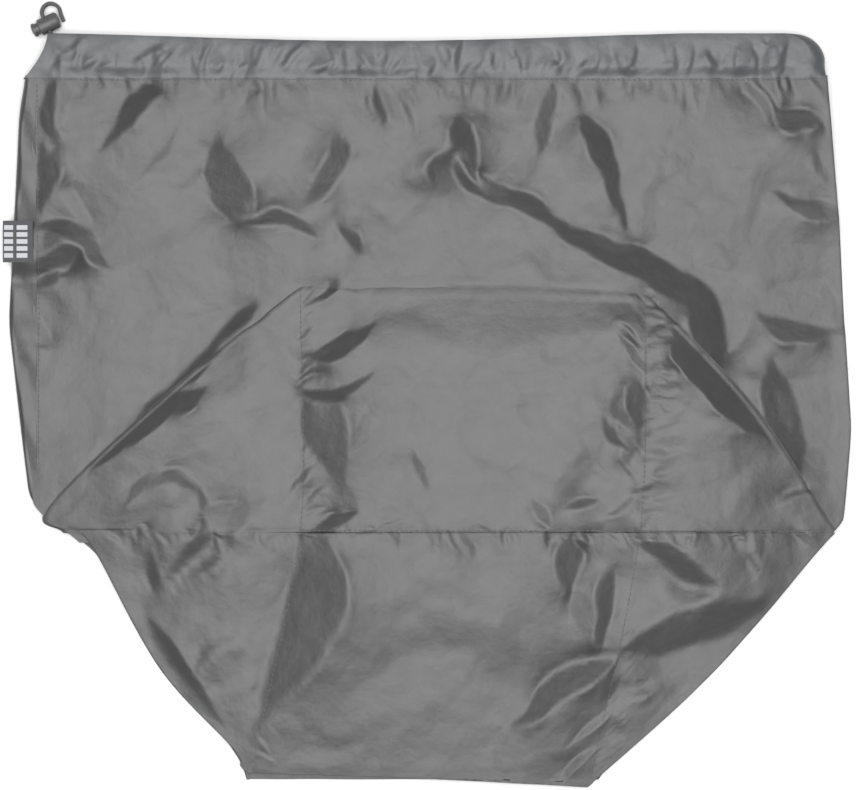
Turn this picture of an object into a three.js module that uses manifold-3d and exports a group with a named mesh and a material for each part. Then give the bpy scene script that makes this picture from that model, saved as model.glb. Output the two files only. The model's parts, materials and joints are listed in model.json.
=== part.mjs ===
// Drawstring laundry bag with a boxed base, folded flat with the base uppermost.
// Millimetres, +Z up. The origin lies under the middle of the bag, on the surface that it
// rests on. +Y points to the mouth. Two panels are folded to shape: the back panel lies
// underneath and turns up over the far edge of the base; the front panel runs down from
// the mouth, folds back on itself and ends as the near half of the base.
import * as THREE from 'three';
import { mergeVertices } from 'three/addons/utils/BufferGeometryUtils.js';
import Module from 'manifold-3d';

const wasm = await Module();
wasm.setup();

// Flat sizes of the bag
const flatHeight = 450;
const mouthWidth = 468;
const bellyWidth = 508;
const baseWidth = 208;
const baseDepth = 301;
const earLeft = 143;
const earRight = 118;

// How the base lies on the walls
const baseOffset = 26;
const baseSkew = 32;
const baseTilt = 6;
const earTuck = 16;
const edgeBow = 8;
const seamRoll = 16;
const mouthRadius = 14;

// Cloth layers
const cloth = 1;
const foldGap = 1.3;
const pocketGap = 2;
const joinGap = 0.3;

// Casing and drawcord
const casingHeight = 26;
const casingWall = 0.6;
const mouthGap = 4.4;
const cordDiameter = 2.2;
const cordPlay = 0.3;
const cordLine = 8.5;
const cordBend = 4.4;
const exitCut = 12;

// Thread
const threadRadius = 0.3;

// Side label
const labelLength = 25;
const labelReach = 18.4;
const labelThick = 0.8;
const labelDrop = 112;

// Cord lock
const lockTilt = 25 * Math.PI / 180;
const lockLift = 6.3;
const barrelRadius = 5;
const barrelWall = 1.1;
const barrelMouth = 4.8;
const barrelEnd = 8;
const barrelFloor = 1.2;
const plungerPlay = 0.3;
const plungerTravel = 2.2;
const plungerWeb = 1.2;
const buttonRadius = 4.3;
const buttonDepth = 2.2;
const strandPitch = cordDiameter + joinGap;
const springWire = 0.5;
const springTurns = 3.5;

// Layer heights and main lines that follow from them
const casingThick = cordDiameter + 2 * (cordPlay + casingWall);
const zFront = casingThick + mouthGap;
const zReturn = zFront + cloth + foldGap;
const zBase = zReturn + cloth + pocketGap;
const zTop = zBase + cloth;
const zSplit = casingThick + mouthGap / 2;
const halfJoin = joinGap / 2;
const yMouth = flatHeight / 2;
const yCasing = yMouth - casingHeight;
const yWall = yCasing - joinGap;
const yBack = -flatHeight / 2;
const yCorner = yBack + baseDepth / 2;
const yNear = yBack + baseDepth;
const yFold = yCorner - 6;
const yRing = yFold - 3;
const yHip = yCorner + 17;
const xSeam = -bellyWidth / 2 + seamRoll;
const xShaft = mouthWidth / 2 - 7;
const cordRadius = cordDiameter / 2;
const threadRise = joinGap + threadRadius;

// Corners of the base and tips of its ears
const nearLeft = [baseOffset - baseWidth / 2, yNear];
const nearRight = [baseOffset + baseWidth / 2, yNear - baseTilt];
const farLeft = [nearLeft[0] - baseSkew, yBack + baseTilt];
const farRight = [nearRight[0] - baseSkew, yBack];
const leftEar = [nearLeft[0] - earLeft, yCorner];
const rightEar = [nearRight[0] + earRight, yCorner];

const materials = {
  cloth: new THREE.MeshStandardMaterial({ color: 0x55565a, roughness: 0.45, metalness: 0 }),
  casing: new THREE.MeshStandardMaterial({ color: 0x585a5f, roughness: 0.45, metalness: 0 }),
  thread: new THREE.MeshStandardMaterial({ color: 0x3c3d40, roughness: 0.8, metalness: 0 }),
  cord: new THREE.MeshStandardMaterial({ color: 0x4c4d4f, roughness: 0.85, metalness: 0 }),
  lock: new THREE.MeshStandardMaterial({ color: 0x505152, roughness: 0.4, metalness: 0 }),
  spring: new THREE.MeshStandardMaterial({ color: 0xb5b7ba, roughness: 0.3, metalness: 1 }),
  label: new THREE.MeshStandardMaterial({ color: 0x2b2c2e, roughness: 0.7, metalness: 0 }),
};

function solidOf(geometry) {
  const merged = geometry.clone();
  merged.deleteAttribute('normal');
  merged.deleteAttribute('uv');
  const welded = mergeVertices(merged, 1e-5);
  return new wasm.Manifold(new wasm.Mesh({
    numProp: 3,
    vertProperties: new Float32Array(welded.attributes.position.array),
    triVerts: new Uint32Array(welded.index.array),
  }));
}

function geometryOf(solid) {
  const mesh = solid.getMesh();
  const geometry = new THREE.BufferGeometry();
  geometry.setAttribute('position', new THREE.BufferAttribute(mesh.vertProperties, 3));
  geometry.setIndex(new THREE.BufferAttribute(mesh.triVerts, 1));
  geometry.computeVertexNormals();
  return geometry;
}

// A flat outline raised from one height to another
function plate(outline, low, high) {
  const shape = new THREE.Shape(outline.map(([x, y]) => new THREE.Vector2(x, y)));
  const geometry = new THREE.ExtrudeGeometry(shape, { depth: high - low, bevelEnabled: false });
  geometry.translate(0, 0, low);
  return solidOf(geometry);
}

function block(x0, x1, y0, y1, z0, z1) {
  return plate([[x0, y0], [x1, y0], [x1, y1], [x0, y1]], z0, z1);
}

// The outline moved inwards by a distance; outlines run counter-clockwise
function inset(outline, distance) {
  const count = outline.length;
  return outline.map((point, i) => {
    const before = outline[(i + count - 1) % count];
    const after = outline[(i + 1) % count];
    const first = new THREE.Vector2(point[0] - before[0], point[1] - before[1]).normalize();
    const second = new THREE.Vector2(after[0] - point[0], after[1] - point[1]).normalize();
    const inward = new THREE.Vector2(-first.y - second.y, first.x + second.x);
    const scale = 2 * distance / inward.lengthSq();
    return [point[0] + inward.x * scale, point[1] + inward.y * scale];
  });
}

function ring(outline, wall, low, high) {
  return plate(outline, low, high).subtract(plate(inset(outline, wall), low - 1, high + 1));
}

// A smooth route whose steps are shared out evenly between its points, so that a short bend
// between close points gets as many steps as a long straight run
class Route extends THREE.CatmullRomCurve3 {
  getPointAt(share, target) {
    return this.getPoint(share, target);
  }

  getTangentAt(share, target) {
    return this.getTangent(share, target);
  }
}

// A round bar along a list of points: cord, thread
function bar(points, radius, sides, stepsPerPoint) {
  const path = new Route(points.map((p) => new THREE.Vector3(...p)), false, 'centripetal');
  const steps = stepsPerPoint * (points.length - 1);
  const section = new THREE.Shape();
  for (let i = 0; i < sides; i += 1) {
    const angle = 2 * Math.PI * i / sides;
    const x = radius * Math.cos(angle);
    const y = radius * Math.sin(angle);
    if (i === 0) section.moveTo(x, y);
    else section.lineTo(x, y);
  }
  section.closePath();
  return new THREE.ExtrudeGeometry(section, { steps, bevelEnabled: false, extrudePath: path });
}

const group = new THREE.Group();

function add(name, geometry, material, parent = group) {
  const mesh = new THREE.Mesh(geometry, material);
  mesh.name = name;
  parent.add(mesh);
  return mesh;
}

// ---- outlines ----

function between(a, b, outward) {
  const middle = [(a[0] + b[0]) / 2, (a[1] + b[1]) / 2];
  const side = new THREE.Vector2(b[1] - a[1], a[0] - b[0]).normalize();
  return [middle[0] + side.x * outward, middle[1] + side.y * outward];
}

const leftShoulder = [-mouthWidth / 2 - 7, yCasing];
const leftBelly = [-bellyWidth / 2, yCorner + 127];
const leftHip = [xSeam - 3, yHip];
const leftTuck = [leftEar[0] + earTuck, yFold];
const rightShoulder = [mouthWidth / 2 + 4, yCasing];
const rightBelly = [bellyWidth / 2, yCorner + 62];
const rightHip = [rightEar[0] + 2, yHip];
const rightTuck = [rightEar[0] - earTuck, yRing - 4];

const lowerEdge = [
  leftTuck,
  between(leftTuck, farLeft, edgeBow),
  farLeft,
  farRight,
  between(farRight, rightTuck, edgeBow),
  rightTuck,
];
// The point at height y on the line through a and b
function along(a, b, y) {
  return [a[0] + (b[0] - a[0]) * (y - a[1]) / (b[1] - a[1]), y];
}

function wallsUpTo(top) {
  return [
    along(leftBelly, leftShoulder, top),
    leftBelly,
    leftHip,
    leftEar,
    ...lowerEdge,
    rightEar,
    rightHip,
    rightBelly,
    along(rightBelly, rightShoulder, top),
  ];
}
const wallOutline = wallsUpTo(yWall);
const mouthOutline = [
  [-mouthWidth / 2, yCasing],
  [rightShoulder[0], yCasing],
];
for (let i = 0; i <= 4; i += 1) {
  const angle = Math.PI / 2 * i / 4;
  mouthOutline.push([
    mouthWidth / 2 - mouthRadius + mouthRadius * Math.cos(angle),
    yMouth - mouthRadius + mouthRadius * Math.sin(angle),
  ]);
}
mouthOutline.push([-mouthWidth / 2 + exitCut, yMouth], [-mouthWidth / 2, yMouth - exitCut]);

// ---- back panel: back wall, side returns, and the far half of the base ----

const wide = bellyWidth;
const allSides = ring(wallsUpTo(yMouth), cloth, 0, zTop);
const farEdge = allSides.intersect(block(-wide, wide, yBack - 1, yRing, -1, zTop));
const backRightSide = allSides.intersect(block(0, wide, yHip, yWall, -1, zSplit - halfJoin));
const backLeftSide = allSides.intersect(block(-wide, 0, yHip, yWall, -1, zFront + cloth));
const leftReturn = plate(wallOutline, zFront, zFront + cloth)
  .intersect(block(-wide, xSeam - halfJoin, yHip, yWall, zFront - 1, zTop));
const farBase = plate([leftEar, ...lowerEdge, rightEar], zBase, zTop)
  .intersect(block(-wide, wide, yBack - 1, yCorner - halfJoin, zBase - 1, zTop + 1));
const backPanel = plate(wallOutline, 0, cloth)
  .add(farEdge)
  .add(backRightSide)
  .add(backLeftSide)
  .add(leftReturn)
  .add(farBase);
add('back_panel', geometryOf(backPanel), materials.cloth);

// ---- front panel: front wall, the part folded back under the base, near half of the base ----

const frontRightSide = allSides.intersect(block(0, wide, yHip, yWall, zSplit + halfJoin, zFront + cloth));
const frontWall = plate(wallOutline, zFront, zFront + cloth)
  .intersect(block(xSeam + halfJoin, wide, yFold, yWall, zFront - 1, zTop));
const nearOutline = [leftEar, rightEar, nearRight, nearLeft];
const foldedOutline = [leftTuck, [rightTuck[0], yFold], rightEar, nearRight, nearLeft, leftEar];
const foldBack = plate(foldedOutline, zReturn, zReturn + cloth);
const foldEdge = block(leftTuck[0], rightTuck[0], yFold, yFold + cloth, zFront, zReturn + cloth);
const nearBase = plate(nearOutline, zBase, zTop)
  .intersect(block(-wide, wide, yCorner + halfJoin, yNear + 1, zBase - 1, zTop + 1));
const nearEdge = ring(nearOutline, cloth, zReturn, zTop)
  .intersect(block(-wide, wide, yCorner + 2 * cloth, yNear + 1, zReturn - 1, zTop + 1));
const frontPanel = frontWall.add(frontRightSide).add(foldBack).add(foldEdge).add(nearBase).add(nearEdge);
add('front_panel', geometryOf(frontPanel), materials.cloth);

// ---- casings: flat tunnels round the mouth, meeting at the right side seam ----

function casing(low, high, shaftLow, shaftHigh, tunnelLow, tunnelHigh) {
  const inner = inset(mouthOutline, casingWall);
  const shaft = block(xShaft, wide, yCasing - 1, yMouth + 1, shaftLow, shaftHigh);
  const shaftHollow = block(xShaft + casingWall, wide, yCasing - 1, yMouth + 1, tunnelLow, tunnelHigh);
  const exit = block(
    -wide,
    -mouthWidth / 2 + exitCut,
    yMouth - exitCut - casingWall,
    yMouth + 1,
    casingWall,
    zFront + casingThick - casingWall,
  );
  return plate(mouthOutline, low, high)
    .add(plate(mouthOutline, shaftLow, shaftHigh).intersect(shaft))
    .subtract(plate(inner, low + casingWall, high - casingWall))
    .subtract(plate(inner, tunnelLow, tunnelHigh).intersect(shaftHollow))
    .subtract(exit);
}

const zFrontTop = zFront + casingThick;
const frontCasing = casing(zFront, zFrontTop, zSplit + halfJoin, zFrontTop, zSplit, zFrontTop - casingWall);
const backCasing = casing(0, casingThick, 0, zSplit - halfJoin, casingWall, zSplit);
add('casing_front', geometryOf(frontCasing), materials.casing);
add('casing_back', geometryOf(backCasing), materials.casing);

// ---- drawcord inside the casings, out and back ----

const yCord = yCasing + cordLine;
const zCordBack = casingThick / 2;
const zCordFront = zFront + casingThick / 2;
const xExit = -mouthWidth / 2 + 6.5;
const yExit = yMouth - exitCut + 0.5;

function exitLeg(z) {
  const leg = [];
  for (let i = 0; i <= 4; i += 1) {
    const angle = Math.PI / 2 * i / 4;
    leg.push([
      xExit + cordBend - cordBend * Math.cos(angle),
      yCord + cordBend - cordBend * Math.sin(angle),
      z,
    ]);
  }
  return [[xExit, yExit, z], ...leg];
}

const turnRadius = (zCordFront - zCordBack) / 2;
const turn = [];
for (let i = 0; i <= 8; i += 1) {
  const angle = Math.PI / 2 - Math.PI * i / 8;
  turn.push([
    xShaft + 1 + turnRadius * Math.cos(angle),
    yCord,
    (zCordFront + zCordBack) / 2 + turnRadius * Math.sin(angle),
  ]);
}
const drawcordRoute = [
  ...exitLeg(zCordFront),
  [-150, yCord, zCordFront],
  [0, yCord, zCordFront],
  [150, yCord, zCordFront],
  ...turn,
  [150, yCord, zCordBack],
  [0, yCord, zCordBack],
  [-150, yCord, zCordBack],
  ...exitLeg(zCordBack).reverse(),
];
add('drawcord', bar(drawcordRoute, cordRadius, 8, 3), materials.cord);

// ---- cord lock, turned about +Z, its axis along its own X and its cord hole along Y ----

const lock = new THREE.Group();
const lockCentre = [-mouthWidth / 2 + 3.3, yMouth + lockLift, barrelRadius];
lock.position.set(...lockCentre);
lock.rotation.z = lockTilt;
group.add(lock);

function turned(profile, segments) {
  const points = profile.map(([radius, along]) => new THREE.Vector2(radius, along));
  const geometry = new THREE.LatheGeometry(points, segments);
  geometry.rotateZ(-Math.PI / 2);
  return solidOf(geometry);
}

const bore = barrelRadius - barrelWall;
const shank = bore - plungerPlay;
const holeHalf = cordRadius + cordPlay;
const holeHeight = strandPitch / 2 + cordRadius + cordPlay;
const barrelInside = barrelEnd - barrelFloor;
const barrel = turned([
  [0, barrelInside],
  [bore, barrelInside],
  [bore, -barrelMouth],
  [barrelRadius - 0.5, -barrelMouth],
  [barrelRadius, -barrelMouth + 0.5],
  [barrelRadius, barrelEnd - 1.6],
  [barrelRadius - 0.5, barrelEnd - 0.6],
  [barrelRadius - 1.6, barrelEnd],
  [0, barrelEnd],
], 32).subtract(block(-holeHalf, holeHalf, -8, 8, -holeHeight, holeHeight));
add('lock_barrel', geometryOf(barrel), materials.lock, lock);

const shankEnd = holeHalf + plungerWeb;
const buttonFace = barrelMouth + joinGap + plungerTravel;
const plunger = turned([
  [0, shankEnd],
  [shank, shankEnd],
  [shank, -buttonFace],
  [buttonRadius, -buttonFace],
  [buttonRadius, -buttonFace - buttonDepth / 2],
  [buttonRadius * 0.8, -buttonFace - buttonDepth * 0.85],
  [buttonRadius * 0.4, -buttonFace - buttonDepth],
  [0, -buttonFace - buttonDepth],
].reverse(), 32).subtract(block(-holeHalf - plungerTravel, holeHalf, -8, 8, -holeHeight, holeHeight));
add('lock_plunger', geometryOf(plunger), materials.lock, lock);

const coil = [];
const coilRadius = bore - joinGap - springWire;
const coilLow = shankEnd + joinGap + springWire / 2;
const coilHigh = barrelInside - joinGap - springWire / 2;
for (let i = 0; i <= springTurns * 12; i += 1) {
  const share = i / (springTurns * 12);
  const angle = 2 * Math.PI * springTurns * share;
  coil.push([
    coilLow + (coilHigh - coilLow) * share,
    coilRadius * Math.cos(angle),
    coilRadius * Math.sin(angle),
  ]);
}
add('lock_spring', bar(coil, springWire / 2, 6, 1), materials.spring, lock);

// ---- free tails: out of the corner, through the lock, curled round its closed end ----

// The route is laid for this left corner of the mouth, and moves with it
const routeCorner = [-234, 225];
const tailRoute = [
  [-227.5, 213.8, 10.4],
  [-227.5, 216.5, 10.0],
  [-227.4, 219.5, 8.6],
  [-227.5, 222.5, 7.0],
  [-227.7, 225.0, 6.3],
  [-229.2, 228.1, 6.25],
  [-230.7, 231.3, 6.25],
  [-232.0, 234.1, 6.25],
  [-233.2, 236.7, 6.25],
  [-233.6, 238.8, 6.0],
  [-232.9, 241.6, 5.5],
  [-230.8, 243.6, 5.0],
  [-228.2, 244.2, 4.6],
  [-225.5, 243.4, 4.2],
  [-223.6, 241.5, 3.8],
  [-222.8, 238.9, 3.6],
  [-221.9, 236.3, 3.6],
  [-220.8, 233.8, 3.6],
];
const tailFront = tailRoute.map(([x, y, z]) => [
  x - routeCorner[0] - mouthWidth / 2,
  y - routeCorner[1] + yMouth,
  z,
]);
const tailBack = tailFront.map(([x, y, z], i) => {
  const rise = [2.0, 2.1, 2.6, 3.3, 3.7][i];
  return [x, y, rise === undefined ? z - strandPitch : rise];
});
add('cord_tail_front', bar(tailFront, cordRadius, 8, 2), materials.cord);
add('cord_tail_back', bar(tailBack, cordRadius, 8, 2), materials.cord);

// ---- side label, lying outwards from the left side seam ----

const yLabel = yMouth - labelDrop;
const zLabel = zFront + cloth + joinGap;
const label = block(
  xSeam - joinGap - labelReach,
  xSeam - joinGap,
  yLabel - labelLength,
  yLabel,
  zLabel,
  zLabel + labelThick,
);
add('side_label', geometryOf(label), materials.label);

// ---- seams: each row of stitches is one thread, laid on the cloth that it closes ----

const wallTop = zFront + cloth + threadRise;
const baseTop = zTop + threadRise;
const ySeam = yCorner + 1.5;
const cornerGap = 1;
const cornerLeft = [nearLeft[0], ySeam];
const cornerRight = [nearRight[0] - 4, ySeam];

function thread(name, points) {
  add(name, bar(points, threadRadius, 6, 6), materials.thread);
}

const yStitch = yCasing - joinGap - threadRadius - 0.1;
thread('casing_stitch_front', [
  [xSeam + 6, yStitch, wallTop],
  [0, yStitch, wallTop],
  [rightShoulder[0] - 4, yStitch, wallTop],
]);
thread('casing_stitch_back', [
  [xSeam + 6, yStitch, cloth + threadRise],
  [0, yStitch, cloth + threadRise],
  [rightShoulder[0] - 4, yStitch, cloth + threadRise],
]);
thread('left_side_seam', [
  [xSeam + 1.2, yWall - 2, wallTop],
  [xSeam + 1.2, yCorner + 130, wallTop],
  [xSeam + 1.2, yHip + 10, wallTop],
  [xSeam + 4, yHip - 4, wallTop + 1],
  [leftEar[0] - 5, yCorner + 4, baseTop - 0.6],
  [leftEar[0] + 3, ySeam + 0.5, baseTop + 0.2],
  [leftEar[0] + 12, ySeam, baseTop],
  [cornerLeft[0] - cornerGap - 60, ySeam, baseTop],
  [cornerLeft[0] - cornerGap, ySeam, baseTop],
], 48);
const rightSide = [0.02, 0.5, 0.9].map((share) => {
  const y = yWall + (rightBelly[1] - yWall) * share;
  return [along(rightBelly, rightShoulder, y)[0] + threadRise, y, zSplit];
});
thread('right_side_seam', [
  ...rightSide,
  [rightBelly[0] + threadRise, rightBelly[1], zSplit],
  [rightHip[0] + threadRise + 1.5, yHip, zSplit + 1],
  [rightEar[0] + 4, yCorner + 5, baseTop - 2],
  [rightEar[0], ySeam + 0.8, baseTop + 0.2],
  [rightEar[0] - 12, ySeam, baseTop],
  [cornerRight[0] + 50, ySeam, baseTop],
  [cornerRight[0] + cornerGap, ySeam, baseTop],
]);
thread('base_seam', [
  [cornerLeft[0] + cornerGap, ySeam, baseTop],
  [baseOffset, ySeam, baseTop],
  [cornerRight[0] - cornerGap, ySeam, baseTop],
]);
thread('left_corner_seam', [
  [nearLeft[0] + 1, nearLeft[1] - 3, baseTop],
  [cornerLeft[0], ySeam + 70, baseTop],
  [cornerLeft[0], ySeam, baseTop],
  [(cornerLeft[0] + farLeft[0]) / 2, (ySeam + farLeft[1]) / 2, baseTop],
  [farLeft[0] + 3, farLeft[1] + 3, baseTop],
]);
thread('right_corner_seam', [
  [nearRight[0] - 1, nearRight[1] - 3, baseTop],
  [cornerRight[0] + 2, ySeam + 70, baseTop],
  [cornerRight[0], ySeam, baseTop],
  [(cornerRight[0] + farRight[0]) / 2, (ySeam + farRight[1]) / 2, baseTop],
  [farRight[0] - 1, farRight[1] + 3, baseTop],
]);
thread('exit_bartack', [
  [-mouthWidth / 2 + 1, yCasing + 5, zFrontTop + threadRise],
  [-mouthWidth / 2 + 5, yCasing + 5, zFrontTop + threadRise],
  [-mouthWidth / 2 + 9, yCasing + 5, zFrontTop + threadRise],
]);

export default group;
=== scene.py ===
# %% [markdown]
# # A drawstring laundry bag, folded flat with its boxed base on top
# The bag is two panels of thin satin nylon, a casing round the mouth with a drawcord in it,
# a cord lock on the two tails, and a folded side label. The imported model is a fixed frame:
# every piece made here takes its place from it and rides on one of its bodies.

# %% Load the frame
import json
import math

import bmesh
import bpy
import numpy as np
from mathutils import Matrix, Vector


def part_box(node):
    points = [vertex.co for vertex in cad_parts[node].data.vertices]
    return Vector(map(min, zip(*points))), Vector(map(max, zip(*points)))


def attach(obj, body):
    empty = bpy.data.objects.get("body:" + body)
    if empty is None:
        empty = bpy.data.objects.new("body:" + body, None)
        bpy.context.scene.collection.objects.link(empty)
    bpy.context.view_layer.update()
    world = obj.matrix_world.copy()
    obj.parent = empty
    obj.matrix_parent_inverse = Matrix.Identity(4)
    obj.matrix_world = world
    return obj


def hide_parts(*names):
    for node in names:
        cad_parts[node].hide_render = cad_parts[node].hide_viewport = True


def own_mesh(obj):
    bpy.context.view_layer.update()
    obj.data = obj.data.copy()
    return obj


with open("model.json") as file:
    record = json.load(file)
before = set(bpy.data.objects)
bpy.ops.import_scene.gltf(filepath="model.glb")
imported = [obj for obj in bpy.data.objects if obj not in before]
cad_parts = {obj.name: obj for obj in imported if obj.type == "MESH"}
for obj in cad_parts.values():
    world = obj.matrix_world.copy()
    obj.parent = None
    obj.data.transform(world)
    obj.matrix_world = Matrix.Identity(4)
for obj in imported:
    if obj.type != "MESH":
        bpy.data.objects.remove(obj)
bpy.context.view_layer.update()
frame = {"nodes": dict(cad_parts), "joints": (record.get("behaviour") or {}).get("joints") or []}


def link(piece):
    """Puts a new object in the scene."""
    bpy.context.scene.collection.objects.link(piece)
    return piece


def stands_for(piece, body, node):
    """Makes a piece ride on a body, in place of a frame node, which it hides."""
    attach(piece, body)
    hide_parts(node)


# %% [markdown]
# ## Camera
# The bag is seen from straight above. A long lens, far away, keeps its edges from leaning.

# %% Camera
MM = 0.001
VIEW_WIDTH = 516.6 * MM
VIEW_MIDDLE = (0.3 * MM, 8.4 * MM)
CAMERA_HEIGHT = 1.6
SUBJECT_HEIGHT = 0.01
SENSOR_WIDTH = 36

camera_data = bpy.data.cameras.new("overhead")
camera_data.sensor_width = SENSOR_WIDTH
camera_data.lens = SENSOR_WIDTH * (CAMERA_HEIGHT - SUBJECT_HEIGHT) / VIEW_WIDTH
camera = link(bpy.data.objects.new("overhead", camera_data))
camera.location = (*VIEW_MIDDLE, CAMERA_HEIGHT)
bpy.context.scene.camera = camera
print("lens", round(camera_data.lens, 1), "mm")

# %% [markdown]
# ## Helpers for finishes
# A finish is a small tree of shader nodes. `Wire` wraps a socket so that a sum on values can
# be written as Python, and `Finish.node` adds any other node: its settings, then its sockets.

# %% Shader helpers


class Wire:
    """One output socket, with the operators that add Math nodes."""

    def __init__(self, finish, socket):
        self.finish = finish
        self.socket = socket

    def math(self, operation, *values):
        made = self.finish.node("ShaderNodeMath", {"operation": operation}, *values)
        return Wire(self.finish, made.outputs[0])

    def __add__(self, other):
        return self.math("ADD", self, other)

    def __sub__(self, other):
        return self.math("SUBTRACT", self, other)

    def __rsub__(self, other):
        return self.math("SUBTRACT", other, self)

    def __mul__(self, other):
        return self.math("MULTIPLY", self, other)

    __radd__ = __add__
    __rmul__ = __mul__

    def sine(self):
        return self.math("SINE", self)

    def size(self):
        return self.math("ABSOLUTE", self)

    def above(self, other):
        return self.math("GREATER_THAN", self, other)


class Finish:
    """A material with one Principled shader, and the way to add nodes before it."""

    def __init__(self, name):
        self.material = bpy.data.materials.new(name)
        self.material.use_nodes = True
        self.tree = self.material.node_tree
        self.shader = self.tree.nodes["Principled BSDF"]

    def node(self, kind, settings, *values, **named):
        made = self.tree.nodes.new(kind)
        for key, value in settings.items():
            setattr(made, key, value)
        for key, value in list(enumerate(values)) + list(named.items()):
            target = made.inputs[key.replace("_", " ") if isinstance(key, str) else key]
            self.join(target, value)
        return made

    def join(self, target, value):
        if isinstance(value, Wire):
            self.tree.links.new(value.socket, target)
        else:
            target.default_value = value

    def set(self, name, value):
        self.join(self.shader.inputs[name], value)

    def place(self):
        made = self.node("ShaderNodeTexCoord", {})
        return Wire(self, made.outputs["Object"])

    def axes(self):
        made = self.node("ShaderNodeSeparateXYZ", {}, self.place())
        return [Wire(self, made.outputs[name]) for name in "XYZ"]

    def noise(self, scale, detail=3.0):
        made = self.node("ShaderNodeTexNoise", {}, Vector=self.place(), Scale=scale, Detail=detail)
        return Wire(self, made.outputs[0])

    def tint(self, factor, first, second):
        """A base colour mixed from two by a factor."""
        made = self.node("ShaderNodeMix", {"data_type": "RGBA"})
        self.join(made.inputs[0], factor)
        self.join(made.inputs[6], first)
        self.join(made.inputs[7], second)
        self.set("Base Color", Wire(self, made.outputs[2]))

    def bumped(self, height, distance, strength):
        made = self.node("ShaderNodeBump", {}, Height=height, Distance=distance, Strength=strength)
        self.set("Normal", Wire(self, made.outputs[0]))


# %% [markdown]
# ## Satin nylon
# The cloth is a tight plain weave with a calendered face. Its colour is dark, and most of the
# light it sends back is a broad soft gloss: a stretch that lies flat looks mid grey, and a
# facet that tips away from the light above looks nearly black. So the base colour stays dark,
# the roughness is moderate, and the creases themselves are left to the mesh.

# %% Nylon finishes
TURN = 2 * math.pi
THREAD_PITCH = 0.4 * MM
WEAVE_SHARE = 0.018
CRINKLE_DEPTH = 0.75 * MM
NYLON_GLOSS = 0.62


def nylon(name, deep, pale, roughness):
    finish = Finish(name)
    x, y, _ = finish.axes()
    cloudy = finish.noise(22.0, 5.0)
    finish.tint(cloudy, deep, pale)
    worn = finish.noise(160.0)
    finish.set("Roughness", roughness - 0.05 + 0.1 * worn)
    finish.set("Specular IOR Level", NYLON_GLOSS)
    warp = (x * (TURN / THREAD_PITCH)).sine()
    weft = (y * (TURN / THREAD_PITCH)).sine()
    crinkle = finish.noise(75.0, 5.0)
    finish.bumped(crinkle + WEAVE_SHARE * (warp * weft), CRINKLE_DEPTH, 1.0)
    return finish.material


satin_nylon = nylon("satin_nylon", (0.026, 0.026, 0.0272, 1), (0.050, 0.050, 0.0515, 1), 0.36)
hem_nylon = nylon("hem_nylon", (0.048, 0.050, 0.054, 1), (0.076, 0.079, 0.084, 1), 0.38)
print("nylon finishes", satin_nylon.name, hem_nylon.name)

# %% [markdown]
# ## Cord, thread, moulded plastic and spring steel
# The cord is braided, so its bump is two sets of slanting strands that cross. Thread is
# twisted one way only. The lock is moulded with a fine grain, and its spring is drawn wire.

# %% Trim finishes


def braid(name, colour, pitch, crossed):
    finish = Finish(name)
    x, y, z = finish.axes()
    strands = ((x + y + z) * (TURN / pitch)).sine()
    if crossed:
        strands = strands * ((x - y + z) * (TURN / pitch)).sine()
    soft = finish.noise(900.0)
    darker = tuple(0.7 * part for part in colour[:3]) + (1,)
    finish.tint(soft, darker, colour)
    finish.set("Roughness", 0.78)
    finish.bumped(strands, 0.12 * MM, 0.7)
    return finish.material


def moulded(name):
    finish = Finish(name)
    grain = finish.noise(1800.0, 2.0)
    finish.tint(grain, (0.060, 0.060, 0.062, 1), (0.078, 0.078, 0.081, 1))
    finish.set("Roughness", 0.36 + 0.12 * grain)
    finish.bumped(grain, 0.03 * MM, 0.4)
    return finish.material


def steel(name):
    finish = Finish(name)
    drawn = finish.noise(1200.0)
    finish.set("Base Color", (0.55, 0.55, 0.57, 1))
    finish.set("Metallic", 1.0)
    finish.set("Roughness", 0.2 + 0.15 * drawn)
    return finish.material


cord_braid = braid("cord_braid", (0.10, 0.10, 0.104, 1), 1.1 * MM, True)
seam_thread = braid("seam_thread", (0.17, 0.17, 0.175, 1), 0.5 * MM, False)
lock_moulding = moulded("lock_moulding")
spring_wire = steel("spring_wire")
print("trim finishes", cord_braid.name, seam_thread.name, lock_moulding.name, spring_wire.name)

# %% [markdown]
# ## Hard parts
# The frame's lock is right in shape but its round faces are flat strips. Each part of it is
# copied, with corners kept sharp and the strips between them shaded as one round face.

# %% Lock parts
SHARP_CORNER = math.radians(32)
WELD = 0.005 * MM


def rounded_copy(node, name, body, material):
    """A copy of a frame part that stands for it and shades round between sharp corners."""
    source = frame["nodes"][node]
    work = bmesh.new()
    work.from_mesh(source.data)
    bmesh.ops.remove_doubles(work, verts=work.verts, dist=WELD)
    for edge in work.edges:
        edge.smooth = len(edge.link_faces) == 2 and edge.calc_face_angle() < SHARP_CORNER
    for face in work.faces:
        face.smooth = True
    mesh = bpy.data.meshes.new(name)
    work.to_mesh(mesh)
    work.free()
    mesh.materials.append(material)
    piece = link(bpy.data.objects.new(name, mesh))
    piece.matrix_world = source.matrix_world
    stands_for(piece, body, node)
    print(name, len(mesh.polygons), "faces")
    return piece


rounded_copy("lock_barrel", "barrel_moulding", "lock", lock_moulding)
rounded_copy("lock_plunger", "plunger_moulding", "plunger", lock_moulding)
spring = rounded_copy("lock_spring", "coil_spring", "lock", spring_wire)

# %% [markdown]
# ## Cord tails
# Both ends of the drawcord come out of the same corner, pass through the lock side by side
# and curl round it. A bevelled curve is the simplest true cord: one spline, one radius.
# The route is the same as in the solid model, and the cut ends are sealed with heat.

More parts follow.
